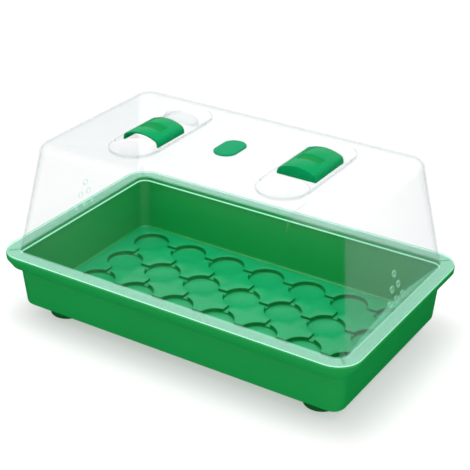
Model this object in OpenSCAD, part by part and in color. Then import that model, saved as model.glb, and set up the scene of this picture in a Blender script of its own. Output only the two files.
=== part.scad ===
// Humidity dome tray: a windowsill propagator with a green tray and a clear lift-off dome.
// The origin is the middle of the ground under the feet, X runs along the tray and +Z is up.

/* [Tray] */
// Length over the tray's rim
rim_l = 380; // [340:1:460]
// Width over the tray's rim
rim_w = 234; // [210:1:300]
// Corner radius of the rim
rim_r = 23; // [16:1:32]
// Width of the flat rim, from its outer edge to the tray's mouth
rim_flat = 12.9; // [10:0.1:18]
// Depth of the straight part of the rim's skirt
skirt_h = 6; // [4:0.5:8]
// Whole depth of the rim, with the slope under the skirt
rim_h = 14; // [11:0.5:20]
// How far that slope goes in towards the tray
slope_in = 5.5; // [3:0.5:7]
// Corner radius of the tray's mouth
mouth_r = 11; // [8:0.5:14]
// Height of the tray, from the underside of its floor to the top of its rim
tray_h = 58; // [45:1:80]
// How far each long wall leans in from mouth to floor
lean_w = 5; // [1:0.5:10]
// How far each short wall leans in from mouth to floor
lean_l = 3.6; // [1:0.2:10]
// Thickness of the tray's walls and floor
tray_wall = 1.6; // [1.2:0.1:2.4]

/* [Wells in the floor] */
// Number of wells along the tray
well_nx = 7; // [4:1:7]
// Number of wells across the tray
well_ny = 4; // [2:1:4]
// Distance between neighbouring wells
well_pitch = 47.6; // [44:0.1:48]
// Diameter of a well, inside
well_d = 37; // [28:0.5:39]
// Depth of a well
well_h = 5; // [3:0.5:8]
// Width of the channels that join the wells
channel_w = 5; // [3:0.5:8]
// Depth of the channels that join the wells
channel_h = 3; // [2:0.5:5]

/* [Feet] */
// Diameter of a foot
foot_d = 34; // [24:1:40]
// Height of a foot, under the corner well
foot_h = 9; // [5:0.5:16]
// Rounding of the foot's lower edge
foot_round = 2.5; // [1:0.5:4]
// Diameter of the peg that a foot is pushed on
peg_d = 10; // [6:0.5:14]
// Length of the peg
peg_h = 5; // [3:0.5:8]
// Gap round the peg and over its end
peg_gap = 0.1; // [0.05:0.05:0.4]

/* [Dome] */
// Height of the dome, from the tray's rim to its flat top
dome_h = 111; // [80:1:160]
// Length of the dome's flat top, over its rounded edge
dome_top_l = 321; // [300:1:336]
// Width of the dome's flat top, over its rounded edge
dome_top_w = 181; // [172:1:192]
// Corner radius of the dome's top
dome_top_r = 17; // [13:1:24]
// Rounding of the dome's upper edge
dome_round = 10; // [6:1:12]
// Thickness of the dome's sheet
dome_wall = 1.2; // [0.8:0.1:1.6]
// Depth of the lip that drops into the tray's mouth
lip_h = 4; // [2:0.5:8]
// Gap between that lip and the tray's mouth
lip_gap = 0.6; // [0.3:0.1:1.2]
// Thickness of the dome's flange
flange_h = 1.4; // [1:0.1:2]
// Length of the rib at each corner of the flange
rib_l = 11; // [6:0.5:12]
// Height of the rib at each corner of the flange
rib_h = 8; // [5:0.5:14]
// Thickness of the rib at each corner of the flange
rib_t = 2.6; // [2:0.2:4]

/* [Sunk corner] */
// Diameter of the sunk front right corner of the dome's top
sunk_d = 48; // [42:1:52]
// Depth of the sunk corner
sunk_h = 6.5; // [4:0.5:8]
// How far its centre is from the end of the flat top
sunk_in = 24; // [20:1:30]
// How far its centre is from the side of the flat top
sunk_in_w = 27; // [22:1:32]

/* [Air holes] */
// Diameter of an air hole in the dome's end walls
hole_d = 5; // [3:0.5:7]
// Number of rows of air holes, one more hole in each row down
hole_rows = 3; // [1:1:4]
// Distance between neighbouring air holes
hole_pitch = 12.4; // [9:0.2:16]
// Height of the lowest row over the rim
hole_z = 9; // [7:0.5:20]

/* [Vents] */
// Distance of each vent from the middle of the dome
vent_x = 79; // [68:1:90]
// Width of the sunk track that a slider runs on
track_w = 48; // [46:1:52]
// Depth of the track
track_h = 2; // [1:0.5:3]
// Front end of the track
track_y0 = -38; // [-42:1:-34]
// Back end of the track
track_y1 = 42; // [38:1:44]
// Diameter of the finger bowl at each end of the track
bowl_d = 46; // [36:1:48]
// Depth of a finger bowl
bowl_h = 7; // [5:0.5:9]
// Place of the front bowl's centre
bowl_y0 = -41; // [-46:1:-36]
// Place of the back bowl's centre
bowl_y1 = 47; // [42:1:50]
// Front end of the clear hump, where its mouth is
hump_y0 = -15; // [-18:1:-10]
// Back end of the clear hump
hump_y1 = 40; // [34:1:41]

/* [Vent sliders] */
// Width of a slider
slider_w = 39.4; // [36:0.2:42]
// Height of a slider's straight sides
slider_side = 5.4; // [4:0.2:8]
// Rise of a slider's arch over its sides
slider_rise = 5.4; // [4:0.2:8]
// Thickness of a slider
slider_t = 1.6; // [1.4:0.1:2.6]
// Gap between a slider and the hump or the track
slider_gap = 0.4; // [0.3:0.05:0.8]
// Length of the left slider, which is open at both ends
left_l = 43; // [36:1:48]
// Front end of the left slider
left_y = -31; // [-36:1:-24]
// Length of the right slider, with its end wall
right_l = 52; // [46:1:56]
// Length of the finger grip sunk in a slider, across it
grip_l = 24; // [14:1:28]
// Width of that grip, along the slider
grip_w = 13; // [8:1:18]
// Depth of that grip
grip_h = 0.8; // [0.4:0.1:1.2]

/* [Badge] */
// Length of the badge, across the dome
badge_l = 37.4; // [26:0.2:50]
// Width of the badge, along the dome
badge_w = 23.2; // [12:0.2:24]
// Thickness of the badge
badge_h = 1.6; // [1:0.1:3]
// Place of the badge along the dome, from its middle
badge_x = -1.5; // [-10:0.5:10]
// Place of the badge across the dome, from its middle
badge_y = 1.5; // [-10:0.5:10]

/* [Hidden] */
$fn = 48;
eps = 0.01;
tray_green = [0.0, 0.59, 0.25];
foot_green = [0.0, 0.33, 0.15];
slider_green = [0.0, 0.65, 0.37];
clear_sheet = [0.88, 0.92, 0.92, 0.35];

// Heights over the ground
floor_z = foot_h + well_h + tray_wall;
under_z = floor_z - tray_wall;
rim_z = under_z + tray_h;
top_z = rim_z + dome_h;
track_z = top_z - track_h;

// The tray's mouth and its floor, inside
mouth_l = rim_l - 2 * rim_flat;
mouth_w = rim_w - 2 * rim_flat;
floor_l = mouth_l - 2 * lean_l;
floor_w = mouth_w - 2 * lean_w;

// The dome's wall where it leaves the flange, outside
base_l = mouth_l - 2 * lip_gap;
base_w = mouth_w - 2 * lip_gap;
base_r = mouth_r - lip_gap;

// The corner wells, under which the feet are
corner_x = (well_nx - 1) / 2 * well_pitch;
corner_y = (well_ny - 1) / 2 * well_pitch;

// The middle of the front right corner's sunk part
sunk_x = dome_top_l / 2 - sunk_in;
sunk_y = sunk_in_w - dome_top_w / 2;

// The hump is the slider's arch, less the slider and the gap
hump_in = slider_t + slider_gap;
right_y = hump_y0 - slider_t - 1;

// A slab with rounded corners, its lower face at z
module slab(l, w, r, h, z) {
    translate([0, 0, z])
        union() {
            translate([-l / 2 + r, -w / 2, 0])
                cube([l - 2 * r, w, h]);
            translate([-l / 2, -w / 2 + r, 0])
                cube([l, w - 2 * r, h]);
            corners(l / 2 - r, w / 2 - r)
                cylinder(r = r, h = h);
        }
}

// A block that narrows from one rounded slab to another
module taper(l0, w0, r0, z0, l1, w1, r1, z1) {
    hull() {
        corners(l0 / 2 - r0, w0 / 2 - r0)
            translate([0, 0, z0])
                cylinder(r = r0, h = eps, $fn = 32);
        corners(l1 / 2 - r1, w1 / 2 - r1)
            translate([0, 0, z1 - eps])
                cylinder(r = r1, h = eps, $fn = 32);
    }
}

// One copy at each corner, x and y from the middle
module corners(x, y) {
    for (sx = [-1, 1], sy = [-1, 1])
        translate([sx * x, sy * y, 0])
            children();
}

// The wells and the channels between them, grown by g and dropped by g
module well_field(g) {
    for (i = [0 : well_nx - 1], j = [0 : well_ny - 1])
        translate([i * well_pitch - corner_x, j * well_pitch - corner_y, floor_z - well_h - g])
            cylinder(d = well_d + 2 * g, h = well_h + g + eps);
    for (j = [0 : well_ny - 1])
        translate([-corner_x, j * well_pitch - corner_y - channel_w / 2 - g, floor_z - channel_h - g])
            cube([2 * corner_x, channel_w + 2 * g, channel_h + g + eps]);
    for (i = [0 : well_nx - 1])
        translate([i * well_pitch - corner_x - channel_w / 2 - g, -corner_y, floor_z - channel_h - g])
            cube([channel_w + 2 * g, 2 * corner_y, channel_h + g + eps]);
}

// The outer form of the rim, its skirt and the slope under it, or with g its inner form
module rim_form(g) {
    l = rim_l - 2 * g;
    w = rim_w - 2 * g;
    r = rim_r - g;
    slab(l, w, r, skirt_h - g, rim_z - skirt_h);
    taper(l - 2 * slope_in, w - 2 * slope_in, r - slope_in, rim_z - rim_h - g * eps,
          l, w, r, rim_z - skirt_h + eps);
}

// The rim, hollow underneath
module rim() {
    difference() {
        rim_form(0);
        rim_form(tray_wall);
        slab(mouth_l, mouth_w, mouth_r, rim_h + 2 * eps, rim_z - rim_h - eps);
    }
}

module tray() {
    body_l = mouth_l + 2 * tray_wall;
    body_w = mouth_w + 2 * tray_wall;
    body_r = mouth_r + tray_wall;
    color(tray_green)
        difference() {
            union() {
                taper(body_l - 2 * lean_l, body_w - 2 * lean_w, body_r, under_z,
                      body_l, body_w, body_r, rim_z);
                rim();
                well_field(tray_wall);
                corners(corner_x, corner_y)
                    translate([0, 0, foot_h - peg_h])
                        cylinder(d = peg_d, h = peg_h + eps);
            }
            taper(floor_l, floor_w, mouth_r, floor_z, mouth_l, mouth_w, mouth_r, rim_z + eps);
            well_field(0);
        }
}

// A foot pushed up on the peg of one corner well
module foot(sx, sy) {
    color(foot_green)
        translate([sx * corner_x, sy * corner_y, 0])
            difference() {
                rotate_extrude()
                    union() {
                        translate([0, foot_round])
                            square([foot_d / 2, foot_h - foot_round]);
                        square([foot_d / 2 - foot_round, foot_h]);
                        translate([foot_d / 2 - foot_round, foot_round])
                            circle(r = foot_round, $fn = 32);
                    }
                translate([0, 0, foot_h - peg_h - peg_gap])
                    cylinder(d = peg_d + 2 * peg_gap, h = peg_h + 2 * peg_gap);
            }
}

// The dome's outer form, or with g its inner form, with its top and shoulder lowered by drop
module dome_form(g, drop = 0) {
    part_down = drop / (dome_h - dome_round);
    top_l = dome_top_l + part_down * (base_l - dome_top_l);
    top_w = dome_top_w + part_down * (base_w - dome_top_w);
    top_r = dome_top_r + part_down * (base_r - dome_top_r);
    r = top_r - g;
    e = dome_round - g;
    hull() {
        corners(base_l / 2 - base_r, base_w / 2 - base_r)
            translate([0, 0, rim_z])
                cylinder(r = base_r - g, h = eps, $fn = 32);
        corners(top_l / 2 - top_r, top_w / 2 - top_r)
            translate([0, 0, top_z - drop - dome_round])
                rotate_extrude($fn = 32)
                    intersection() {
                        translate([r - e, 0])
                            circle(r = e, $fn = 32);
                        square([r, e]);
                    }
        translate([0, 0, top_z - drop - g - eps])
            cube([top_l - 2 * top_r, top_w - 2 * top_r, 2 * eps], center = true);
    }
}

// The section of a vent's arch with its foot at zero, drawn in by d on every side
module arch(d) {
    half = slider_w / 2;
    radius = (half * half + slider_rise * slider_rise) / (2 * slider_rise);
    intersection() {
        translate([0, slider_side + slider_rise - radius])
            circle(r = radius - d, $fn = 96);
        translate([-half + d, 0])
            square([slider_w - 2 * d, slider_side + slider_rise]);
    }
}

// An arch from y0 to y1, standing on z
module arch_bar(d, y0, y1, z) {
    translate([0, y1, z])
        rotate([90, 0, 0])
            linear_extrude(height = y1 - y0)
                arch(d);
}

// A finger bowl, a cap of a ball, grown by g
module bowl(y, g) {
    cap = bowl_h - track_h;
    half = bowl_d / 2;
    radius = (half * half + cap * cap) / (2 * cap);
    translate([0, y, track_z])
        intersection() {
            translate([0, 0, radius - cap])
                sphere(r = radius + g, $fn = 96);
            translate([0, 0, -bowl_h - g])
                cylinder(d = bowl_d + 2 * g, h = bowl_h + track_h + 1 + g);
        }
}

// What is sunk in the dome's top for one vent, grown by g
module vent_sunk(g) {
    translate([-track_w / 2 - g, track_y0 - g, track_z - g])
        cube([track_w + 2 * g, track_y1 - track_y0 + 2 * g, track_h + 1 + g]);
    for (y = [bowl_y0, bowl_y1]) {
        bowl(y, g);
        translate([0, y, track_z - g])
            cylinder(d = bowl_d + 2 * g, h = track_h + 1 + g);
    }
}

// What is sunk at the dome's front right corner, grown by g: a round-cornered block that runs out
// past the corner, less a lowered dome a little wider than the real one
module sunk_corner(g) {
    wider = 0.3;
    past = 2 * dome_round;
    size = sunk_d + past + 2 * g;
    low_z = top_z - sunk_h - 2 * dome_round;
    difference() {
        translate([sunk_x + past / 2, sunk_y - past / 2, 0])
            slab(size, size, sunk_d / 2 + g, top_z + 1 - low_z, low_z);
        dome_form(g - wider, sunk_h + wider);
    }
}

// The ribs at the corners of the flange, along the diagonals
module corner_ribs() {
    rib_from = base_r * (1 - sqrt(0.5)) * sqrt(2);
    for (sx = [-1, 1], sy = [-1, 1])
        translate([sx * base_l / 2, sy * base_w / 2, rim_z])
            rotate([0, 0, atan2(sy, sx)])
                translate([-rib_from - 2 * dome_wall, -rib_t / 2, 0])
                    cube([rib_l + 2 * dome_wall, rib_t, flange_h + rib_h]);
}

// The clear hump of one vent from y0 to y1, drawn in by d, reaching drop below the track
module hump(d, y0, y1, drop) {
    arch_bar(d, y0, y1, track_z + slider_gap);
    translate([-slider_w / 2 + d, y0, track_z - drop])
        cube([slider_w - 2 * d, y1 - y0, drop + slider_gap + eps]);
}

module air_holes() {
    for (side = [-1, 1], row = [0 : hole_rows - 1], i = [0 : hole_rows - 1 - row])
        translate([side * base_l / 2, (i - (hole_rows - 1 - row) / 2) * hole_pitch,
                   rim_z + hole_z + row * hole_pitch])
            rotate([0, 90, 0])
                cylinder(d = hole_d, h = 60, center = true, $fn = 32);
}

module dome() {
    color(clear_sheet)
        difference() {
            union() {
                difference() {
                    dome_form(0);
                    sunk_corner(0);
                    for (x = [-vent_x, vent_x])
                        translate([x, 0, 0])
                            vent_sunk(0);
                }
                for (x = [-vent_x, vent_x])
                    translate([x, 0, 0]) {
                        hump(hump_in, hump_y0, hump_y1, dome_wall);
                        hump(hump_in, bowl_y1 - bowl_d / 2, hump_y1, bowl_h - track_h + dome_wall);
                    }
                slab(rim_l, rim_w, rim_r, flange_h, rim_z);
                slab(base_l, base_w, base_r, lip_h + eps, rim_z - lip_h);
                corner_ribs();
            }
            difference() {
                union() {
                    dome_form(dome_wall);
                    slab(base_l - 2 * dome_wall, base_w - 2 * dome_wall, base_r - dome_wall,
                         lip_h + 2 * eps, rim_z - lip_h - eps);
                }
                sunk_corner(dome_wall);
                for (x = [-vent_x, vent_x])
                    translate([x, 0, 0])
                        vent_sunk(dome_wall);
            }
            for (x = [-vent_x, vent_x])
                translate([x, 0, 0])
                    hump(hump_in + dome_wall, hump_y0 - 1, hump_y1 - dome_wall, bowl_h + dome_wall);
            air_holes();
        }
}

// A slider from y0 to y1, with an end wall in front when walled is true
module slider(y0, y1, walled) {
    z = track_z + slider_gap;
    middle = (y0 + y1) / 2;
    inner_y0 = y0 + (walled ? slider_t : -1);
    color(slider_green)
        difference() {
            arch_bar(0, y0, y1, z);
            arch_bar(slider_t, inner_y0, y1 + 1, z);
            translate([-slider_w / 2 + slider_t, inner_y0, z - 1])
                cube([slider_w - 2 * slider_t, y1 + 1 - inner_y0, 1 + eps]);
            difference() {
                translate([-grip_l / 2, middle - grip_w / 2, z])
                    cube([grip_l, grip_w, slider_side + slider_rise + 1]);
                arch_bar(grip_h, y0 - 1, y1 + 1, z);
            }
        }
}

module vent_slider_left() {
    translate([-vent_x, 0, 0])
        slider(left_y, left_y + left_l, false);
}

module vent_slider_right() {
    translate([vent_x, 0, 0])
        slider(right_y, right_y + right_l, true);
}

// A plain raised oval with round ends
module badge() {
    straight = badge_l - badge_w;
    color(tray_green)
        translate([badge_x, badge_y, top_z])
            union() {
                translate([-badge_w / 2, -straight / 2, 0])
                    cube([badge_w, straight, badge_h]);
                for (s = [-1, 1])
                    translate([0, s * straight / 2, 0])
                        cylinder(d = badge_w, h = badge_h);
            }
}

tray();
foot(-1, -1);  // foot_front_left
foot(1, -1);  // foot_front_right
foot(-1, 1);  // foot_rear_left
foot(1, 1);  // foot_rear_right
dome();
vent_slider_left();
vent_slider_right();
badge();
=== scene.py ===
# %% [markdown]
# A humidity dome tray for seedlings. A moulded green tray stands on four feet, a clear formed dome
# rests on its rim, and two green covers slide over the vents in the dome's top.
# The measured frame comes first. It fixes every size that has to fit, so the places below are
# read from it, and only the fine sizes that it doesn't hold are written here.

# %% Load the measured frame
import math

import bmesh
import bpy
from mathutils import Matrix, Vector


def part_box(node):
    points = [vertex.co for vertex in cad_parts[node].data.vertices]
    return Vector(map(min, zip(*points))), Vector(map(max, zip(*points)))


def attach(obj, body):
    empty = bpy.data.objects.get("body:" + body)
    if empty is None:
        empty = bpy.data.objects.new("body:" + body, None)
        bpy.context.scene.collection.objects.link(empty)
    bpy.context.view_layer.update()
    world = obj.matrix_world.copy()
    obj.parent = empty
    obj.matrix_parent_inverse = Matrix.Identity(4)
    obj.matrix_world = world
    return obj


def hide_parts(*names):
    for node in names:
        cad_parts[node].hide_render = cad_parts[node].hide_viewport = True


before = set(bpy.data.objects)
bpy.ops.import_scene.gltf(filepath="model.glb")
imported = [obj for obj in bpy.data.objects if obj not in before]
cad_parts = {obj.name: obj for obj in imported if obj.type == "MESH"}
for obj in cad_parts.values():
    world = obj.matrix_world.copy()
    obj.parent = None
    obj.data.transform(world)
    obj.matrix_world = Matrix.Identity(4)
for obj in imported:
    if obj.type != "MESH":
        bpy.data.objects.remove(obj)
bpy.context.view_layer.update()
MM = 0.001
print("nodes:", sorted(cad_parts))

# %% Read the main sizes from the frame
tray_low, tray_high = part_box("tray")
RIM_L = tray_high.x - tray_low.x
RIM_W = tray_high.y - tray_low.y
RIM_Z = tray_high.z
TOP_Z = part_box("badge")[0].z
foot_low, foot_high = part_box("foot_rear_right")
FOOT_H = foot_high.z
FOOT_R = (foot_high.x - foot_low.x) / 2
CORNER_X = (foot_low.x + foot_high.x) / 2
CORNER_Y = (foot_low.y + foot_high.y) / 2
print(f"rim {RIM_L / MM:.1f} x {RIM_W / MM:.1f} at {RIM_Z / MM:.1f} mm, dome's top at {TOP_Z / MM:.1f} mm")

# %% [markdown]
# Every piece is shaped in edit mode. Blender's operators act on all that is selected, so each step
# first selects what it works on, by place or by the way a face looks. These few helpers do that.

# %% Helpers for selecting and shaping
def edit(piece=None):
    """Opens a piece for editing, or closes the open one."""
    if bpy.context.object and bpy.context.object.mode == "EDIT":
        bpy.ops.object.mode_set(mode="OBJECT")
    if piece:
        bpy.ops.object.select_all(action="DESELECT")
        bpy.context.view_layer.objects.active = piece
        piece.select_set(True)
        bpy.ops.object.mode_set(mode="EDIT")


def pick(kind, test):
    """Selects only the vertices, edges or faces that pass the test, and says how many."""
    bpy.ops.mesh.select_mode(type=kind)
    bpy.ops.mesh.select_all(action="DESELECT")
    mesh = bmesh.from_edit_mesh(bpy.context.object.data)
    mesh.verts.index_update()
    chosen = [e for e in {"VERT": mesh.verts, "EDGE": mesh.edges, "FACE": mesh.faces}[kind] if test(e)]
    for element in chosen:
        element.select_set(True)
    mesh.select_flush_mode()
    bmesh.update_edit_mesh(bpy.context.object.data)
    return len(chosen)


def new_piece(name):
    """A new empty mesh at the origin, open for editing."""
    edit()
    bpy.ops.object.select_all(action="DESELECT")
    bpy.ops.mesh.primitive_plane_add(size=MM)
    piece = bpy.context.object
    piece.name = name
    piece.data.name = name
    edit(piece)
    bpy.ops.mesh.delete(type="VERT")
    return piece


def modify(piece, kind, **settings):
    """Adds a modifier and applies it at once."""
    edit()
    bpy.ops.object.select_all(action="DESELECT")
    bpy.context.view_layer.objects.active = piece
    piece.select_set(True)
    modifier = piece.modifiers.new(kind.lower(), kind)
    for name, value in settings.items():
        setattr(modifier, name, value)
    bpy.ops.object.modifier_apply(modifier=modifier.name)


def combine(piece, tool, operation):
    """Cuts a tool away from a piece, or fuses it on, and removes the tool."""
    modify(piece, "BOOLEAN", object=tool, operation=operation, solver="EXACT")
    bpy.data.objects.remove(tool)


def join(pieces):
    """Makes one piece of several that don't touch."""
    edit()
    bpy.ops.object.select_all(action="DESELECT")
    for piece in pieces:
        piece.select_set(True)
    bpy.context.view_layer.objects.active = pieces[0]
    bpy.ops.object.join()
    return pieces[0]


def face_outwards(piece):
    edit(piece)
    bpy.ops.mesh.select_all(action="SELECT")
    bpy.ops.mesh.normals_make_consistent(inside=False)
    edit()


def look_up(piece, test):
    """Turns an open sheet over if the face that passes the test looks down."""
    mesh = bmesh.from_edit_mesh(piece.data)
    mesh.normal_update()
    if next(f for f in mesh.faces if test(f)).normal.z < 0:
        bpy.ops.mesh.select_all(action="SELECT")
        bpy.ops.mesh.flip_normals()


def smooth(piece, degrees=32):
    """Smooth shading that stays crisp across edges sharper than this."""
    edit()
    bpy.ops.object.select_all(action="DESELECT")
    bpy.context.view_layer.objects.active = piece
    piece.select_set(True)
    bpy.ops.object.shade_smooth_by_angle(angle=math.radians(degrees))
    print(f"{piece.name}: {len(piece.data.polygons)} faces")


# %% [markdown]
# Trays and formed sheets are stacks of rounded rectangles. A plane with its four corners bevelled
# is one such ring, and bridging each ring to the next makes the wall between them. Scaling one ring
# would stretch its corners, so every ring is added at its own size with its own corner radius.

# %% Helpers for lofting and turning
CORNER_STEPS = 8


def add_ring(length, width, radius, height):
    """One rounded rectangle of edges in the open piece."""
    middle = (0, 0, height)
    bpy.ops.mesh.primitive_plane_add(size=1, location=middle)
    bpy.ops.transform.resize(value=(length, width, 1), center_override=middle)
    bpy.ops.mesh.bevel(offset=radius, segments=CORNER_STEPS, affect="VERTICES")
    bpy.ops.mesh.delete(type="ONLY_FACE")


def loft(name, rings, closed=True):
    """A wall through a list of rings, each (length, width, corner radius, height)."""
    piece = new_piece(name)
    count = 4 * (CORNER_STEPS + 1)
    for ring in rings:
        add_ring(*ring)
    for i in range(len(rings) - 1):
        pick("VERT", lambda v: i * count <= v.index < (i + 2) * count)
        bpy.ops.mesh.bridge_edge_loops()
    if closed:
        for first in (0, (len(rings) - 1) * count):
            pick("VERT", lambda v: first <= v.index < first + count)
            bpy.ops.mesh.edge_face_add()
        face_outwards(piece)
    edit()
    return piece


def turn(name, profile, centre=(0, 0), steps=64):
    """A round piece on an upright axis through a list of (radius, height)."""
    piece = new_piece(name)
    radius, height = profile[0]
    place = (centre[0], centre[1], height)
    bpy.ops.mesh.primitive_circle_add(vertices=steps, radius=radius, fill_type="NGON", location=place)
    for next_radius, next_height in profile[1:]:
        bpy.ops.mesh.extrude_region_move(TRANSFORM_OT_translate={"value": (0, 0, next_height - height)})
        share = next_radius / radius
        bpy.ops.transform.resize(value=(share, share, 1), center_override=(centre[0], centre[1], next_height))
        radius, height = next_radius, next_height
    face_outwards(piece)
    return piece


def copy_to(piece, name, factors):
    """A copy with its own mesh, mirrored to another corner by factors of 1 or -1."""
    twin = piece.copy()
    twin.data = piece.data.copy()
    twin.name = name
    twin.data.name = name
    bpy.context.collection.objects.link(twin)
    edit(twin)
    bpy.ops.mesh.select_all(action="SELECT")
    bpy.ops.transform.resize(value=(*factors, 1), center_override=(0, 0, 0))
    edit()
    face_outwards(twin)
    return twin


# %% [markdown]
# The tray is one moulding of even thickness, so it is modelled as a sheet and given its thickness
# at the end. Its floor has a grid of round wells joined by narrow channels. One cell of that grid is
# made first: a square of edges bridged to a circle. The cell is then repeated by Array modifiers.

# %% One cell of the floor
TRAY_WALL = 1.6 * MM
WELLS_X, WELLS_Y = 7, 4
PITCH = 2 * CORNER_X / (WELLS_X - 1)
WELL_R = 18.5 * MM
WELL_H = 5 * MM
CHANNEL_W, CHANNEL_H = 5 * MM, 3 * MM
CELL_STEPS = 11
FLOOR_Z = FOOT_H + TRAY_WALL + WELL_H

tray = new_piece("tray_shell")
first_well = (-CORNER_X, -CORNER_Y, FLOOR_Z)
bpy.ops.mesh.primitive_plane_add(size=PITCH, location=first_well)
bpy.ops.mesh.delete(type="ONLY_FACE")
bpy.ops.mesh.select_all(action="SELECT")
bpy.ops.mesh.subdivide(number_cuts=CELL_STEPS - 1)
bpy.ops.mesh.primitive_circle_add(vertices=4 * CELL_STEPS, radius=WELL_R, location=first_well)
bpy.ops.transform.rotate(value=math.pi / (4 * CELL_STEPS), orient_axis="Z", center_override=first_well)


def off_well(element, axis):
    """How far a vertex or face of the first cell is from its middle, along one axis."""
    place = element.co if hasattr(element, "co") else element.calc_center_median()
    return abs(place[axis] - first_well[axis])


# The four edges on the well's axes become the width of a channel
for ring_half in (PITCH / 2, WELL_R):
    for axis in (0, 1):
        near = PITCH / CELL_STEPS * 0.7 if ring_half > WELL_R else WELL_R * 0.12
        far = ring_half * 0.97

        def on_axis(v):
            return off_well(v, axis) < near and abs(off_well(v, 1 - axis) - ring_half) < ring_half - far

        pick("VERT", on_axis)
        mesh = bmesh.from_edit_mesh(tray.data)
        half = max(off_well(v, axis) for v in mesh.verts if v.select)
        factors = [1, 1, 1]
        factors[axis] = CHANNEL_W / 2 / half
        bpy.ops.transform.resize(value=factors, center_override=first_well)

bpy.ops.mesh.select_all(action="SELECT")
bpy.ops.mesh.bridge_edge_loops()
pick("VERT", lambda v: (v.co - Vector(first_well)).length < WELL_R + MM)
bpy.ops.mesh.edge_face_add()
bpy.ops.mesh.select_all(action="SELECT")
bpy.ops.mesh.normals_make_consistent(inside=False)
look_up(tray, lambda f: len(f.verts) == 4 * CELL_STEPS)
print("faces in one cell:", len(bmesh.from_edit_mesh(tray.data).faces))

# %% Repeat the cell, and sink the wells and channels
modify(tray, "ARRAY", count=WELLS_X, use_relative_offset=False, use_constant_offset=True,
       constant_offset_displace=(PITCH, 0, 0), use_merge_vertices=True, merge_threshold=0.05 * MM)
modify(tray, "ARRAY", count=WELLS_Y, use_relative_offset=False, use_constant_offset=True,
       constant_offset_displace=(0, PITCH, 0), use_merge_vertices=True, merge_threshold=0.05 * MM)


def off_grid(value, corner):
    """How far a coordinate is from the nearest row of well centres."""
    return abs((value + corner + PITCH / 2) % PITCH - PITCH / 2)


def is_channel(face):
    centre = face.calc_center_median()
    in_line = off_grid(centre.x, CORNER_X) < MM / 2 or off_grid(centre.y, CORNER_Y) < MM / 2
    return in_line and abs(centre.x) < CORNER_X + MM and abs(centre.y) < CORNER_Y + MM


def is_well(face):
    return len(face.verts) == 4 * CELL_STEPS


edit(tray)
sunk = pick("FACE", lambda f: is_well(f) or is_channel(f))
bpy.ops.mesh.extrude_region_move(TRANSFORM_OT_translate={"value": (0, 0, -CHANNEL_H)})
wells = pick("FACE", is_well)
bpy.ops.mesh.inset(use_individual=True, thickness=0.5 * MM, depth=CHANNEL_H - WELL_H)
print(f"{wells} wells, {sunk - wells} halves of channels")

# %% [markdown]
# The wall rises from the floor in a small curve, leans out a little, rolls over into the flat rim,
# and comes down as a skirt that slopes back in. Each of those stations is one ring.

# %% The wall, the rim and the skirt
RIM_FLAT = 12.9 * MM
RIM_R, MOUTH_R = 23 * MM, 11 * MM
SKIRT_H, RIM_H, SLOPE_IN = 6 * MM, 14 * MM, 5.5 * MM
LEAN_L, LEAN_W = 3.6 * MM, 5 * MM
FLOOR_ROUND, EDGE_ROUND, RIM_FALL = 2 * MM, 1.2 * MM, 0.1 * MM
MOUTH_L, MOUTH_W = RIM_L - 2 * RIM_FLAT, RIM_W - 2 * RIM_FLAT


def wall_ring(height, inset=0.0):
    """The tray's inner wall at a height, drawn in by an inset."""
    share = (RIM_Z - height) / (RIM_Z - FLOOR_Z)
    return (MOUTH_L - 2 * LEAN_L * share - 2 * inset, MOUTH_W - 2 * LEAN_W * share - 2 * inset,
            MOUTH_R - inset, height)


def rim_ring(inset, height):
    """The rim's outline, drawn in by an inset."""
    return (RIM_L - 2 * inset, RIM_W - 2 * inset, RIM_R - inset, height)


rings = []
for angle in (0, 30, 60, 88):
    a = math.radians(angle)
    rings.append(wall_ring(FLOOR_Z + FLOOR_ROUND * (1 - math.cos(a)), FLOOR_ROUND * (1 - math.sin(a))))
for angle in (0, 45, 90):
    a = math.radians(angle)
    rings.append(wall_ring(RIM_Z - EDGE_ROUND * (1 - math.sin(a)), -EDGE_ROUND * (1 - math.cos(a))))
for angle in (90, 45, 0):
    a = math.radians(angle)
    rings.append(rim_ring(EDGE_ROUND * (1 - math.cos(a)), RIM_Z - RIM_FALL - EDGE_ROUND * (1 - math.sin(a))))
rings.append(rim_ring(0.3 * MM, RIM_Z - SKIRT_H))
rings.append(rim_ring(SLOPE_IN, RIM_Z - RIM_H))
walls = loft("tray_walls", rings, closed=False)
tray = join([tray, walls])

edit(tray)
pick("EDGE", lambda e: e.is_boundary and all(abs(v.co.z - FLOOR_Z) < 0.1 * MM for v in e.verts))
bpy.ops.mesh.fill()
bpy.ops.mesh.select_all(action="SELECT")
bpy.ops.mesh.remove_doubles(threshold=0.01 * MM)
bpy.ops.mesh.normals_make_consistent(inside=False)
look_up(tray, is_well)
edit()

# %% Round the tray's edges and give it its thickness
modify(tray, "BEVEL", width=0.7 * MM, segments=2, limit_method="ANGLE", angle_limit=math.radians(40))
modify(tray, "SOLIDIFY", thickness=TRAY_WALL, offset=-1, use_even_offset=True, use_quality_normals=True)
smooth(tray)

# %% The pegs that the feet are pushed on
PEG_R, PEG_H = 5 * MM, 5 * MM


def under_corner(face):
    centre = face.calc_center_median()
    at_corner = abs(abs(centre.x) - CORNER_X) < MM and abs(abs(centre.y) - CORNER_Y) < MM
    return at_corner and face.normal.z < -0.9 and len(face.verts) > 20


edit(tray)
pegs = pick("FACE", under_corner)
mesh = bmesh.from_edit_mesh(tray.data)
flat_r = max((v.co - f.calc_center_median()).length for f in mesh.faces if f.select for v in f.verts)
bpy.ops.mesh.inset(use_individual=True, thickness=flat_r - PEG_R)
bpy.ops.mesh.extrude_faces_move(TRANSFORM_OT_shrink_fatten={"value": PEG_H})
edit()
print(pegs, "pegs")

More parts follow.
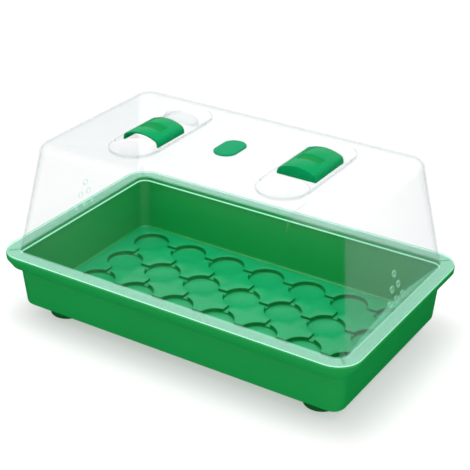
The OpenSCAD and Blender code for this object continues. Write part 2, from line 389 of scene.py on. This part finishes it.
# %% [markdown]
# A foot is a thick round cap, coloured a much darker green than the tray. It is turned from a profile
# with a rounded lower edge and a shallow hollow underneath, and it has a hole for the tray's peg. One
# foot is made, and the other three are mirrored copies.

# %% The feet
FOOT_ROUND = 2.5 * MM
HOLLOW_R, HOLLOW_H = 9 * MM, 1.2 * MM
profile = [(PEG_R + 0.2 * MM, FOOT_H - PEG_H - 0.3 * MM), (PEG_R + 0.2 * MM, FOOT_H - 0.4 * MM),
           (PEG_R + 0.6 * MM, FOOT_H - 0.05 * MM), (FOOT_R - 0.5 * MM, FOOT_H - 0.05 * MM),
           (FOOT_R, FOOT_H - 0.6 * MM)]
for angle in (0, 22.5, 45, 67.5, 90):
    a = math.radians(angle)
    profile.append((FOOT_R - FOOT_ROUND * (1 - math.cos(a)), FOOT_ROUND * (1 - math.sin(a))))
profile += [(HOLLOW_R + 0.8 * MM, 0), (HOLLOW_R, HOLLOW_H), (HOLLOW_R * 0.5, HOLLOW_H)]
foot = turn("foot_cap_rear_right", profile, (CORNER_X, CORNER_Y))
feet = {"foot_rear_right": foot}
for side, x in (("left", -1), ("right", 1)):
    for end, y in (("front", -1), ("rear", 1)):
        if (x, y) != (1, 1):
            feet[f"foot_{end}_{side}"] = copy_to(foot, f"foot_cap_{end}_{side}", (x, y))
for cap in feet.values():
    smooth(cap)

# %% [markdown]
# The dome is a clear sheet drawn over a mould. Its outer form is lofted as a solid block first. The
# sunk parts are then cut from that block and the vent humps fused on, and only at the end is the
# block hollowed to a sheet, so that the inside follows every pocket.

# %% The dome's outer form
SHEET = 1.2 * MM
LIP_GAP, LIP_H = 0.6 * MM, 4 * MM
FLANGE_GAP, FLANGE_H = 0.2 * MM, 1.4 * MM
BASE_L, BASE_W, BASE_R = MOUTH_L - 2 * LIP_GAP, MOUTH_W - 2 * LIP_GAP, MOUTH_R - LIP_GAP
TOP_L, TOP_W, TOP_R, TOP_ROUND = 321 * MM, 181 * MM, 17 * MM, 10 * MM


def dome_wall(height):
    """Length, width and corner radius of the dome's leaning wall at a height."""
    share = (TOP_Z - TOP_ROUND - height) / (TOP_Z - TOP_ROUND - RIM_Z - FLANGE_H)
    return [top + (low - top) * share for top, low in ((TOP_L, BASE_L), (TOP_W, BASE_W), (TOP_R, BASE_R))]


def shoulder_rings(drop=0.0):
    """The rings of the dome's rounded upper edge, or of the same edge lowered by drop."""
    length, width, radius = dome_wall(TOP_Z - TOP_ROUND - drop)
    made = []
    for angle in (0, 15, 30, 45, 60, 75, 90):
        a = math.radians(angle)
        inset = TOP_ROUND * (1 - math.cos(a))
        height = TOP_Z - drop - TOP_ROUND * (1 - math.sin(a))
        made.append((length - 2 * inset, width - 2 * inset, radius - inset, height))
    return made


base = (BASE_L, BASE_W, BASE_R)
LIP_EDGE = 1.0 * MM
base_rings = [(*base, RIM_Z - LIP_H), (*base, RIM_Z - LIP_H + LIP_EDGE), (*base, RIM_Z + FLANGE_GAP),
              (*base, RIM_Z + FLANGE_H)]
dome = loft("dome_shell", base_rings + shoulder_rings())

# %% [markdown]
# The front right corner of the top is sunk by a few millimetres. The cutter is a round post widened
# out past the dome's corner, less the same dome form lowered by the depth, so that the sunk corner
# keeps the dome's own rounded edge.

# %% The sunk corner
SUNK_R, SUNK_H = 24 * MM, 6.5 * MM
SUNK_X, SUNK_Y = TOP_L / 2 - 24 * MM, 27 * MM - TOP_W / 2
PAST_CORNER = 60 * MM

post = turn("post", [(SUNK_R, TOP_Z - 30 * MM), (SUNK_R, TOP_Z + 5 * MM)], (SUNK_X, SUNK_Y))
for axis, sign, middle in ((0, 1, SUNK_X), (1, -1, SUNK_Y)):
    across = Vector((axis == 0, axis == 1, 0))
    edit(post)
    bpy.ops.mesh.select_all(action="SELECT")
    bpy.ops.mesh.bisect(plane_co=across * middle, plane_no=across)
    pick("VERT", lambda v: (v.co[axis] - middle) * sign > 0.1 * MM)
    bpy.ops.transform.translate(value=across * sign * PAST_CORNER)
    edit()
low_length, low_width, low_radius = dome_wall(TOP_Z - 60 * MM)
lowered = loft("lowered", [(low_length + 40 * MM, low_width + 40 * MM, low_radius + 20 * MM, TOP_Z - 60 * MM)]
               + shoulder_rings(SUNK_H))
combine(post, lowered, "DIFFERENCE")
combine(dome, post, "DIFFERENCE")
print("dome after its sunk corner:", len(dome.data.polygons), "faces")

# %% [markdown]
# A vent is a shallow track with a finger bowl at each end, and a clear arched hump along the track.
# The bowls are turned, the track is a plain cube, and the hump's arch is spun.

# %% The sunk tracks and bowls
SLIDERS = {"left": "vent_slider_left", "right": "vent_slider_right"}
VENT_X = {side: sum(c.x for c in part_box(node)) / 2 for side, node in SLIDERS.items()}
TRACK_W, TRACK_H, TRACK_Y = 48 * MM, 2 * MM, (-38 * MM, 42 * MM)
BOWL_R, BOWL_H, BOWL_Y = 23 * MM, 7 * MM, (-41 * MM, 47 * MM)
TRACK_Z = TOP_Z - TRACK_H
ABOVE = 3 * MM


def block(name, low, high):
    """A straight block between two corners."""
    edit()
    bpy.ops.object.select_all(action="DESELECT")
    middle = (Vector(low) + Vector(high)) / 2
    bpy.ops.mesh.primitive_cube_add(size=1, location=middle)
    made = bpy.context.object
    made.name = name
    bpy.ops.object.transform_apply(location=True, rotation=False, scale=False)
    edit(made)
    bpy.ops.mesh.select_all(action="SELECT")
    bpy.ops.transform.resize(value=Vector(high) - Vector(low), center_override=middle)
    edit()
    return made


def bowl(x, y):
    """A cap of a ball, with straight sides above the track."""
    cap = BOWL_H - TRACK_H
    ball_r = (BOWL_R ** 2 + cap ** 2) / (2 * cap)
    profile = [(BOWL_R, TOP_Z + ABOVE), (BOWL_R, TRACK_Z - 0.01 * MM)]
    widest = math.asin(BOWL_R / ball_r)
    for step in range(1, 8):
        a = widest * (1 - step / 8)
        profile.append((ball_r * math.sin(a), TRACK_Z - cap + ball_r * (1 - math.cos(a))))
    return turn("bowl", profile, (x, y), steps=72)


tracks = join([block("track", (x - TRACK_W / 2, TRACK_Y[0], TRACK_Z), (x + TRACK_W / 2, TRACK_Y[1], TOP_Z + ABOVE))
               for x in VENT_X.values()])
combine(dome, tracks, "DIFFERENCE")
for end in BOWL_Y:
    combine(dome, join([bowl(x, end) for x in VENT_X.values()]), "DIFFERENCE")
print("dome after its tracks and bowls:", len(dome.data.polygons), "faces")

# %% The arch that the sliders and humps share
slider_low, slider_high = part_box("vent_slider_right")
SLIDER_W = slider_high.x - slider_low.x
ARCH_FOOT = slider_low.z
ARCH_RISE, ARCH_SIDE = 5.4 * MM, 5.4 * MM
ARCH_R = ((SLIDER_W / 2) ** 2 + ARCH_RISE ** 2) / (2 * ARCH_RISE)
ARCH_MIDDLE = ARCH_FOOT + ARCH_SIDE + ARCH_RISE - ARCH_R
ARCH_STEPS = 14
SHOULDER_R = 7 * MM


def arch(name, x, y0, y1, inward, foot):
    """A long arch sheet over a vent, drawn in from the slider's outside, with its sides down to foot."""
    piece = new_piece(name)
    radius = ARCH_R - inward
    half = SLIDER_W / 2 - inward
    lean = math.asin(half / radius)
    side_z = ARCH_MIDDLE + radius * math.cos(lean)
    bpy.ops.mesh.primitive_plane_add(size=1, location=(x + half + 0.5, (y0 + y1) / 2, side_z))
    bpy.ops.transform.resize(value=(1, y1 - y0, 1), center_override=(x + half, (y0 + y1) / 2, side_z))
    pick("VERT", lambda v: v.co.x > x + half + MM)
    bpy.ops.mesh.delete(type="VERT")
    pick("EDGE", lambda e: True)
    bpy.ops.mesh.spin(steps=ARCH_STEPS, angle=2 * lean, center=(x, 0, ARCH_MIDDLE), axis=(0, 1, 0))
    for side in (x - half, x + half):
        pick("EDGE", lambda e: all(abs(v.co.x - side) < 0.1 * MM for v in e.verts))
        bpy.ops.mesh.extrude_edges_move(TRANSFORM_OT_translate={"value": (0, 0, foot - side_z)})
    pick("EDGE", lambda e: all(abs(abs(v.co.x - x) - half) + abs(v.co.z - side_z) < 0.1 * MM for v in e.verts))
    turn_angle = math.pi / 2 - lean
    bpy.ops.mesh.bevel(offset=(SHOULDER_R - inward) * math.tan(turn_angle / 2), segments=5, affect="EDGES")
    return piece


# %% The clear humps
COVER_T, COVER_GAP = 1.6 * MM, 0.4 * MM
HUMP_IN = COVER_T + COVER_GAP
HUMP_Y = (-15 * MM, 40 * MM)
HUMP_FOOT = TOP_Z - 9 * MM
humps = []
for x in VENT_X.values():
    hump = arch("hump", x, *HUMP_Y, HUMP_IN, HUMP_FOOT)
    pick("VERT", lambda v: abs(v.co.z - HUMP_FOOT) < 0.1 * MM)
    bpy.ops.mesh.edge_face_add()
    for end in HUMP_Y:
        pick("VERT", lambda v: abs(v.co.y - end) < 0.1 * MM)
        bpy.ops.mesh.edge_face_add()
    face_outwards(hump)
    humps.append(hump)
combine(dome, join(humps), "UNION")
print("dome with its humps:", len(dome.data.polygons), "faces")

# %% [markdown]
# Now the block becomes a sheet. Its bottom and the two mouths of the humps are opened, its creases
# are rounded as a formed sheet's are, and Solidify gives it an even thickness inwards. The flange is
# then drawn out of a narrow strip round the foot of the wall.

# %% Hollow the dome
edit(dome)
opened = pick("FACE", lambda f: f.normal.z < -0.9 and f.calc_center_median().z < RIM_Z
              or f.normal.y < -0.9 and abs(f.calc_center_median().y - HUMP_Y[0]) < 0.1 * MM)
bpy.ops.mesh.delete(type="FACE")
print("openings:", opened)
modify(dome, "BEVEL", width=0.8 * MM, segments=2, limit_method="ANGLE", angle_limit=math.radians(30))
modify(dome, "SOLIDIFY", thickness=SHEET, offset=-1, use_even_offset=True, use_quality_normals=True)

# %% Draw out the flange
FLANGE_IN = 0.2 * MM


def off_wall(place):
    """How far a place is outside the dome's foot, which is a rounded rectangle."""
    x = max(abs(place.x) - (BASE_L / 2 - BASE_R), 0)
    y = max(abs(place.y) - (BASE_W / 2 - BASE_R), 0)
    return math.hypot(x, y) - BASE_R


def on_strip(face):
    centre = face.calc_center_median()
    level = RIM_Z + FLANGE_GAP < centre.z < RIM_Z + FLANGE_H
    return level and off_wall(centre) > -0.4 * MM and abs(face.normal.z) < 0.3


edit(dome)
strip = pick("FACE", on_strip)
reach = (RIM_L - BASE_L) / 2 - FLANGE_IN
bpy.ops.mesh.extrude_region_shrink_fatten(TRANSFORM_OT_shrink_fatten={"value": reach})
for level in (RIM_Z + FLANGE_GAP, RIM_Z + FLANGE_H):
    pick("VERT", lambda v: off_wall(v.co) > reach / 2 and abs(v.co.z - level) < 0.5 * MM)
    bpy.ops.transform.resize(value=(1, 1, 0), center_override=(0, 0, level))
edit()
print("flange drawn from", strip, "faces; box", [round(v / MM, 2) for v in dome.dimensions])

# %% [markdown]
# Four short ribs stand on the flange at its corners and keep a stacked dome from jamming. Six air
# holes in a triangle are low in each end wall, and each has a small raised ring round it.

# %% The corner ribs
RIB_L, RIB_H, RIB_T = 11 * MM, 8 * MM, 2.6 * MM
CORNER_IN = BASE_R * (1 - math.sqrt(0.5))


def corner_rib(x, y):
    """One upright fin along a corner's diagonal, its foot sunk in the flange."""
    foot = (x * (BASE_L / 2 - CORNER_IN), y * (BASE_W / 2 - CORNER_IN), 0)
    low = (foot[0] - SHEET / 2, foot[1] - RIB_T / 2, RIM_Z + FLANGE_H - 0.4 * MM)
    rib = block("rib", low, (foot[0] + RIB_L, foot[1] + RIB_T / 2, RIM_Z + FLANGE_H + RIB_H))
    modify(rib, "BEVEL", width=0.8 * MM, segments=2, limit_method="NONE")
    edit(rib)
    bpy.ops.mesh.select_all(action="SELECT")
    bpy.ops.transform.rotate(value=-math.atan2(y, x), orient_axis="Z", center_override=foot)
    edit()
    return rib


ribs = [corner_rib(x, y) for x in (-1, 1) for y in (-1, 1)]
for rib in ribs:
    centre = sum((v.co for v in rib.data.vertices), Vector()) / len(rib.data.vertices)
    assert abs(centre.x) > BASE_L / 2 - CORNER_IN, "a rib points inwards"
combine(dome, join(ribs), "UNION")

# %% The air holes
HOLE_R, HOLE_PITCH, HOLE_Z, HOLE_ROWS = 2.5 * MM, 12.4 * MM, 9 * MM, 3
RING_R, RING_OUT = 3.6 * MM, 0.7 * MM
WALL_LEAN = math.atan2((BASE_L - TOP_L) / 2, TOP_Z - TOP_ROUND - RIM_Z - FLANGE_H)


def pin(side, y, height, radius, depth, outward):
    """A short round pin square to an end wall, from depth inside it to outward outside it."""
    wall_x = dome_wall(height)[0] / 2
    middle = (0, y, height)
    pin = turn("pin", [(radius, height - depth), (radius, height + outward * 0.6),
                       (radius - 0.3 * MM, height + outward)], (0, y), steps=24)
    edit(pin)
    bpy.ops.mesh.select_all(action="SELECT")
    tilt = side * (math.pi / 2 - WALL_LEAN)
    bpy.ops.transform.rotate(value=-tilt, orient_axis="Y", center_override=middle)
    bpy.ops.transform.translate(value=(side * wall_x, 0, 0))
    edit()
    return pin


places = [(side, (i - (HOLE_ROWS - 1 - row) / 2) * HOLE_PITCH, RIM_Z + HOLE_Z + row * HOLE_PITCH)
          for side in (-1, 1) for row in range(HOLE_ROWS) for i in range(HOLE_ROWS - row)]
combine(dome, join([pin(*place, RING_R, SHEET / 2, RING_OUT) for place in places]), "UNION")
combine(dome, join([pin(*place, HOLE_R, 4 * MM, 4 * MM) for place in places]), "DIFFERENCE")
smooth(dome, 28)

# %% [markdown]
# A vent cover is an arched shell: a line spun into an arch, its sides drawn down, and the right one
# closed by a wall in front. Two cuts each way mark out the finger grip, which is inset and sunk.

# %% The vent covers
COVER_ROUND = 0.4 * MM
GRIP_L, GRIP_W, GRIP_H = 24 * MM, 13 * MM, 0.8 * MM


def cover(side, walled):
    low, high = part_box(SLIDERS[side])
    x, middle = VENT_X[side], (low.y + high.y) / 2
    piece = arch(f"vent_cover_{side}", x, low.y, high.y, 0, ARCH_FOOT)
    if walled:
        pick("VERT", lambda v: abs(v.co.y - low.y) < 0.1 * MM)
        bpy.ops.mesh.edge_face_add()
    bpy.ops.mesh.select_all(action="SELECT")
    bpy.ops.mesh.normals_make_consistent(inside=False)
    crown_z = ARCH_FOOT + ARCH_SIDE + ARCH_RISE
    look_up(piece, lambda f: f.calc_center_median().z > crown_z - 0.3 * MM)
    for axis, at in ((0, x - GRIP_L / 2), (0, x + GRIP_L / 2),
                     (1, middle - GRIP_W / 2), (1, middle + GRIP_W / 2)):
        across = Vector((axis == 0, axis == 1, 0))
        bpy.ops.mesh.select_all(action="SELECT")
        bpy.ops.mesh.bisect(plane_co=across * at, plane_no=across)
    modify(piece, "SOLIDIFY", thickness=COVER_T, offset=-1, use_even_offset=True, use_quality_normals=True)
    edit(piece)
    pick("FACE", lambda f: f.normal.z > 0.5 and abs(f.calc_center_median().x - x) < GRIP_L / 2
         and abs(f.calc_center_median().y - middle) < GRIP_W / 2)
    bpy.ops.mesh.inset(thickness=0.8 * MM, depth=-GRIP_H)
    modify(piece, "BEVEL", width=COVER_ROUND, segments=2, limit_method="ANGLE", angle_limit=math.radians(35))
    smooth(piece)
    return piece


covers = {"left": cover("left", False), "right": cover("right", True)}

# %% [markdown]
# The badge is a plain raised oval with no lettering. A turned disc with a crowned top is as wide as
# the badge. Its two halves are then drawn apart, which gives straight sides between round ends.

# %% The badge
badge_low, badge_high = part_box("badge")
badge_middle = (badge_low + badge_high) / 2
BADGE_GAP = 0.1 * MM
badge_r = (badge_high.x - badge_low.x) / 2
straight = badge_high.y - badge_low.y - 2 * badge_r
top = badge_high.z
badge = turn("oval_badge", [(badge_r, TOP_Z + BADGE_GAP), (badge_r, top - 0.7 * MM),
                            (badge_r - 0.2 * MM, top - 0.35 * MM),
                            (badge_r - 0.7 * MM, top - 0.12 * MM), (badge_r - 3 * MM, top)],
             (badge_middle.x, badge_middle.y), steps=72)
edit(badge)
bpy.ops.mesh.select_all(action="SELECT")
bpy.ops.mesh.bisect(plane_co=badge_middle, plane_no=(0, 1, 0))
for sign in (-1, 1):
    pick("VERT", lambda v: (v.co.y - badge_middle.y) * sign > 0.05 * MM)
    bpy.ops.transform.translate(value=(0, sign * straight / 2, 0))
edit()
smooth(badge)

# %% [markdown]
# Materials are node trees. To keep them readable, a small class wraps a socket, so that maths on
# patterns can be written as plain expressions, and one method adds every other kind of node.

# %% Shader maths as expressions
class Wire:
    """A socket's value that can be added, subtracted, multiplied and raised."""

    def __init__(self, tree, socket):
        self.tree, self.socket = tree, socket

    def maths(self, operation, first, second):
        node = self.tree.nodes.new("ShaderNodeMath")
        node.operation = operation
        for slot, value in zip(node.inputs, (first, second)):
            if isinstance(value, Wire):
                self.tree.links.new(value.socket, slot)
            else:
                slot.default_value = value
        return Wire(self.tree, node.outputs[0])

    def __add__(self, other):
        return self.maths("ADD", self, other)

    def __sub__(self, other):
        return self.maths("SUBTRACT", self, other)

    def __rsub__(self, other):
        return self.maths("SUBTRACT", other, self)

    def __mul__(self, other):
        return self.maths("MULTIPLY", self, other)

    def __pow__(self, other):
        return self.maths("POWER", self, other)

    __radd__, __rmul__ = __add__, __mul__


class Finish:
    """One material. Its node method adds any node, with settings first and then its sockets."""

    def __init__(self, name):
        self.material = bpy.data.materials.new(name)
        self.material.use_nodes = True
        self.tree = self.material.node_tree
        self.shader = self.tree.nodes["Principled BSDF"]
        self.output = self.tree.nodes["Material Output"]
        self.place = self.node("TexCoord", output="Object")

    def fill(self, node, sockets):
        for name, value in sockets.items():
            slot = node.inputs[name]
            if isinstance(value, Wire):
                self.tree.links.new(value.socket, slot)
            elif isinstance(value, bpy.types.NodeSocket):
                self.tree.links.new(value, slot)
            else:
                slot.default_value = value

    def node(self, kind, settings=None, sockets=None, output=0):
        made = self.tree.nodes.new("ShaderNode" + kind)
        for name, value in (settings or {}).items():
            setattr(made, name, value)
        self.fill(made, sockets or {})
        return Wire(self.tree, made.outputs[output])

    def noise(self, size, detail=3.0, roughness=0.5):
        """A noise from 0 to 1 whose lumps are about this many metres across."""
        return self.node("TexNoise", sockets={"Vector": self.place, "Scale": 1 / size, "Detail": detail,
                                              "Roughness": roughness}, output="Fac")

    def mix(self, share, first, second):
        """A colour between two others."""
        made = self.tree.nodes.new("ShaderNodeMix")
        made.data_type = "RGBA"
        for name, value in (("Factor_Float", share), ("A_Color", first), ("B_Color", second)):
            slot = next(i for i in made.inputs if i.identifier == name)
            if isinstance(value, Wire):
                self.tree.links.new(value.socket, slot)
            else:
                slot.default_value = value if isinstance(value, float) else (*value, 1)
        return Wire(self.tree, next(o for o in made.outputs if o.identifier == "Result_Color"))

    def axis(self, kind, letter):
        """One coordinate of the surface: its Position or the way its Normal points."""
        source = self.place if kind == "Position" else self.node("NewGeometry", output="Normal")
        return self.node("SeparateXYZ", sockets={"Vector": source}, output=letter)

    def limit(self, value):
        """The same number, held between 0 and 1."""
        return self.node("Clamp", sockets={"Value": value}, output="Result")

    def size(self, value):
        """The number without its sign."""
        return self.node("Math", {"operation": "ABSOLUTE"}, {0: value})

    def bump(self, height, depth):
        """Feeds a height from 0 to 1 to the shader's normal, as that many metres of relief."""
        made = self.node("Bump", sockets={"Height": height, "Strength": 1.0, "Distance": depth}, output="Normal")
        self.fill(self.shader, {"Normal": made})


# %% [markdown]
# The green parts are moulded plastic. The real tray's colour drifts a little where the melt cooled,
# its surface has a very fine grain, and it is a touch paler where it has been rubbed. A slow noise,
# a fine one and a patchy one do that, and the fine one also feeds the bump.

# %% Green plastics
def green_plastic(name, colour, roughness, gloss=0.5, grain=0.02 * MM, drift=0.06):
    """Moulded plastic with a slow drift of colour, fine grain and faint rubbed patches."""
    finish = Finish(name)
    slow = finish.noise(60 * MM, 2.0)
    fine = finish.noise(0.9 * MM, 4.0)
    rubbed = finish.noise(14 * MM, 6.0, 0.7) ** 4
    dark = tuple(c * (1 - drift) for c in colour)
    pale = tuple(min(1, c * (1 + drift)) for c in colour)
    base = finish.mix(slow, dark, pale)
    base = finish.mix(rubbed * 0.4, base, tuple(1.15 * c + 0.004 for c in colour))
    finish.fill(finish.shader, {"Base Color": base, "Roughness": roughness - 0.04 + fine * 0.08 + rubbed * 0.2,
                                "IOR": 1.49, "Specular IOR Level": gloss})
    finish.bump(fine, grain)
    return finish, base


# %% [markdown]
# The tray's floor gets a painted sheen, a bluer colour that stands for the sky it reflects, and the
# sides of the wells get painted shade, a darker green. Both follow the height above the ground and
# which way the surface faces.

# %% The tray's finish
# The teal is a painted sky sheen for the floor, and the dark green is painted shade for the well sides.
SKY_SHEEN_TEAL, WELL_SHADE = (0.0, 0.36, 0.12), (0.0, 0.16, 0.03)
tray_finish, walls_green = green_plastic("tray_green", (0.0, 0.30, 0.054), 0.30)
height = tray_finish.axis("Position", "Z")
upward = tray_finish.axis("Normal", "Z")
FLOOR_TOP = FOOT_H + 8.5 * MM
low = tray_finish.limit((FLOOR_TOP - height) * (1 / MM))
faces_up = tray_finish.limit((upward - 0.5) * 4.0)
faces_side = 1.0 - tray_finish.limit((upward * upward) * 6.0)
inside_x = tray_finish.limit((MOUTH_L / 2 - 5 * MM - tray_finish.size(tray_finish.axis("Position", "X"))) * (1 / MM))
inside_y = tray_finish.limit((MOUTH_W / 2 - 7 * MM - tray_finish.size(tray_finish.axis("Position", "Y"))) * (1 / MM))
inside = inside_x * inside_y * low
# Painted sheen: faces that look up, low inside the tray, take the teal.
base = tray_finish.mix(faces_up * inside, walls_green, SKY_SHEEN_TEAL)
# Painted shade: upright faces, low inside the tray, take the dark green.
base = tray_finish.mix(faces_side * inside, base, WELL_SHADE)
tray_finish.fill(tray_finish.shader, {"Base Color": base})
tray_green = tray_finish.material

foot_green = green_plastic("foot_green", (0.0, 0.11, 0.02), 0.45, 0.1, grain=0.05 * MM)[0].material
cover_green = green_plastic("cover_green", (0.0, 0.27, 0.085), 0.25, 0.05, grain=0.006 * MM)[0].material
# The grip's darker green is painted shade in the sunk grip; its rougher grain is the grip's own.
grip_shade_green = green_plastic("grip_shade_green", (0.0, 0.22, 0.045), 0.5, 0.05, grain=0.08 * MM)[0].material
badge_green = green_plastic("badge_green", (0.0, 0.26, 0.10), 0.22, 0.04, grain=0.004 * MM)[0].material

# %% [markdown]
# The dome is clear formed sheet. Face on it hides almost nothing, and the flatter it is seen the
# milkier it looks, so a Mix Shader between clear and pale follows the Facing output. The flange is
# frosted by the mould, and the cut edge of the sheet gets a painted mint glow, an emission that
# stands in for the light gathering there.

# %% Clear sheet
def sheet_finish(name, colour, cover, rise, start, roughness, mottle=0.1):
    """A see-through sheet: cover is how much each face hides, rise how much more at a flat angle."""
    finish = Finish(name)
    ripple = finish.noise(35 * MM, 1.0)
    haze = finish.noise(0.8 * MM, 3.0, 0.6)
    speck = finish.noise(1.6 * MM, 5.0, 0.8)
    base = finish.mix(speck, tuple(c * 0.93 for c in colour), colour)
    finish.fill(finish.shader, {"Base Color": base, "Roughness": roughness + haze * 0.06, "IOR": 1.5})
    finish.bump(ripple, 0.2 * MM)
    facing = finish.node("LayerWeight", sockets={"Blend": 0.5}, output="Facing")
    hidden = finish.limit(facing - start) * rise + cover + (speck - 0.5) * mottle
    through = finish.node("BsdfTransparent", sockets={"Color": (1, 1, 1, 1)})
    mixed = finish.node("MixShader", sockets={0: hidden, 1: through, 2: finish.shader.outputs[0]})
    finish.fill(finish.output, {"Surface": mixed})
    return finish


MILK = (0.40, 0.47, 0.49)
GLOW_MINT, FROST = (0.5, 1.0, 0.78), (0.50, 0.90, 0.76)
clear_sheet = sheet_finish("clear_sheet", MILK, 0.003, 0.36, 0.22, 0.05, 0.004).material
frosted = sheet_finish("frosted_flange", FROST, 0.30, 0.1, 0.4, 0.45, 0.14).material
# The cut edge's mint colour and emission are a painted glow; the sheet is no lamp.
edge = sheet_finish("lit_edge", GLOW_MINT, 0.85, 0.1, 0.5, 0.2, 0.05)
edge.fill(edge.shader, {"Emission Color": (*GLOW_MINT, 1), "Emission Strength": 0.25})
lit_edge = edge.material

# %% Give every piece its finish
def finish_piece(piece, material, body, slot, *nodes):
    piece.data.materials.clear()
    piece.data.materials.append(material)
    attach(piece, body)
    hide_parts(*nodes)


edit()
finish_piece(tray, tray_green, "tray", "tray_plastic", "tray")
for node, cap in feet.items():
    finish_piece(cap, foot_green, "tray", "foot_plastic", node)
finish_piece(dome, clear_sheet, "dome", "dome_sheet", "dome")
for side, piece in covers.items():
    finish_piece(piece, cover_green, f"slider_{side}", "slider_plastic", SLIDERS[side])
finish_piece(badge, badge_green, "dome", "badge_plastic", "badge")

# %% Frost the flange, paint a glow on the cut edges and paint shade in the grips
dome.data.materials.append(frosted)
dome.data.materials.append(lit_edge)


def near_hole(place):
    """True on the ring round an air hole, but not on the wall about it."""
    return any(side * place.x > 0 and math.hypot(place.y - y, place.z - z) < RING_R + 0.2 * MM
               for side, y, z in places)


# The flange's outer edge and the lip's lower end take the painted mint glow.
for face in dome.data.polygons:
    on_flange = off_wall(face.center) > 0.3 * MM and face.center.z < RIM_Z + FLANGE_H + 0.1 * MM
    at_edge = off_wall(face.center) > reach - 0.6 * MM
    lip_end = face.center.z < RIM_Z - LIP_H + LIP_EDGE
    if on_flange:
        face.material_index = 2 if at_edge else 1
    elif lip_end:
        face.material_index = 2
    # The rings round the air holes take the paler frosted finish, a painted highlight on their outlines.
    elif near_hole(face.center):
        face.material_index = 1

# The sunk grip's faces take the darker green, which is painted shade in the recess.
for side, piece in covers.items():
    piece.data.materials.append(grip_shade_green)
    low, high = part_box(SLIDERS[side])
    middle = (low + high) / 2
    for face in piece.data.polygons:
        x, y = abs(face.center.x - middle.x), abs(face.center.y - middle.y)
        sunk = ARCH_R - GRIP_H + 0.2 * MM
        from_axis = math.hypot(face.center.x - middle.x, face.center.z - ARCH_MIDDLE)
        outside = ARCH_R - COVER_T * 0.75 < from_axis < sunk
        if x < GRIP_L / 2 - 0.5 * MM and y < GRIP_W / 2 - 0.5 * MM and outside:
            face.material_index = 1

# %% [markdown]
# The stage is a pale floor in a bright, even studio. The floor glows a little, which keeps shadows
# faint. Mirror-like rays pass through it to a dark lower sky, so that the upright walls stay deep
# in colour while the tray's floor and the top catch the bright upper sky.

# %% Floor, sky and lamp
bpy.ops.mesh.primitive_plane_add(size=12, location=(0, 0, 0))
floor = bpy.context.object
floor.name = "floor"
floor_finish = Finish("pale_floor")
floor_finish.fill(floor_finish.shader, {"Base Color": (0.55, 0.55, 0.55, 1), "Roughness": 0.9,
                                        "Emission Color": (1, 1, 1, 1), "Emission Strength": 0.42})
floor.data.materials.append(floor_finish.material)
floor.visible_glossy = False

world = bpy.data.worlds.new("sky")
bpy.context.scene.world = world
world.use_nodes = True
sky = world.node_tree
way = sky.nodes.new("ShaderNodeTexCoord")
split = sky.nodes.new("ShaderNodeSeparateXYZ")
ramp = sky.nodes.new("ShaderNodeValToRGB")
ramp.color_ramp.elements[0].position = 0.0
ramp.color_ramp.elements[0].color = (0.0, 0.0, 0.0, 1)
ramp.color_ramp.elements[1].position = 0.08
ramp.color_ramp.elements[1].color = (1, 1, 1, 1)
sky.links.new(way.outputs["Generated"], split.inputs[0])
sky.links.new(split.outputs["Z"], ramp.inputs[0])
sky.links.new(ramp.outputs[0], sky.nodes["Background"].inputs["Color"])
sky.nodes["Background"].inputs["Strength"].default_value = 0.95


def lamp(name, place, size, power):
    """A soft square lamp aimed at the middle of the dome."""
    data = bpy.data.lights.new(name, "AREA")
    data.shape = "SQUARE"
    data.size = size
    data.energy = power
    made = bpy.data.objects.new(name, data)
    bpy.context.collection.objects.link(made)
    made.location = place
    made.rotation_euler = (Vector((0, 0, RIM_Z)) - made.location).to_track_quat("-Z", "Y").to_euler()


lamp("overhead", (-0.1, -0.1, 1.5), 0.9, 12)
bpy.context.scene.view_settings.view_transform = "Standard"
bpy.context.scene.cycles.transparent_max_bounces = 24

# %% [markdown]
# The camera looks down at the dome's front and right end from a little over a metre away, with a
# long lens. It aims at a point near the middle of the object and is rolled by less than a degree.

# %% Camera
AZIMUTH, ELEVATION, ROLL = math.radians(31.74), math.radians(27.385), math.radians(0.859)
DISTANCE, LENS = 1.2222, 98.04
AIM = Vector((0, 0.0099, 0.0908))

camera_data = bpy.data.cameras.new("camera")
camera_data.lens = LENS
camera = bpy.data.objects.new("camera", camera_data)
bpy.context.collection.objects.link(camera)
back = Vector((math.sin(AZIMUTH) * math.cos(ELEVATION), -math.cos(AZIMUTH) * math.cos(ELEVATION),
               math.sin(ELEVATION)))
camera.location = AIM + back * DISTANCE
camera.rotation_mode = "QUATERNION"
level = Vector((math.cos(AZIMUTH), math.sin(AZIMUTH), 0))
upward = back.cross(level)
across = level * math.cos(ROLL) + upward * math.sin(ROLL)
above = upward * math.cos(ROLL) - level * math.sin(ROLL)
camera.rotation_quaternion = Matrix((across, above, back)).transposed().to_quaternion()
bpy.context.scene.camera = camera
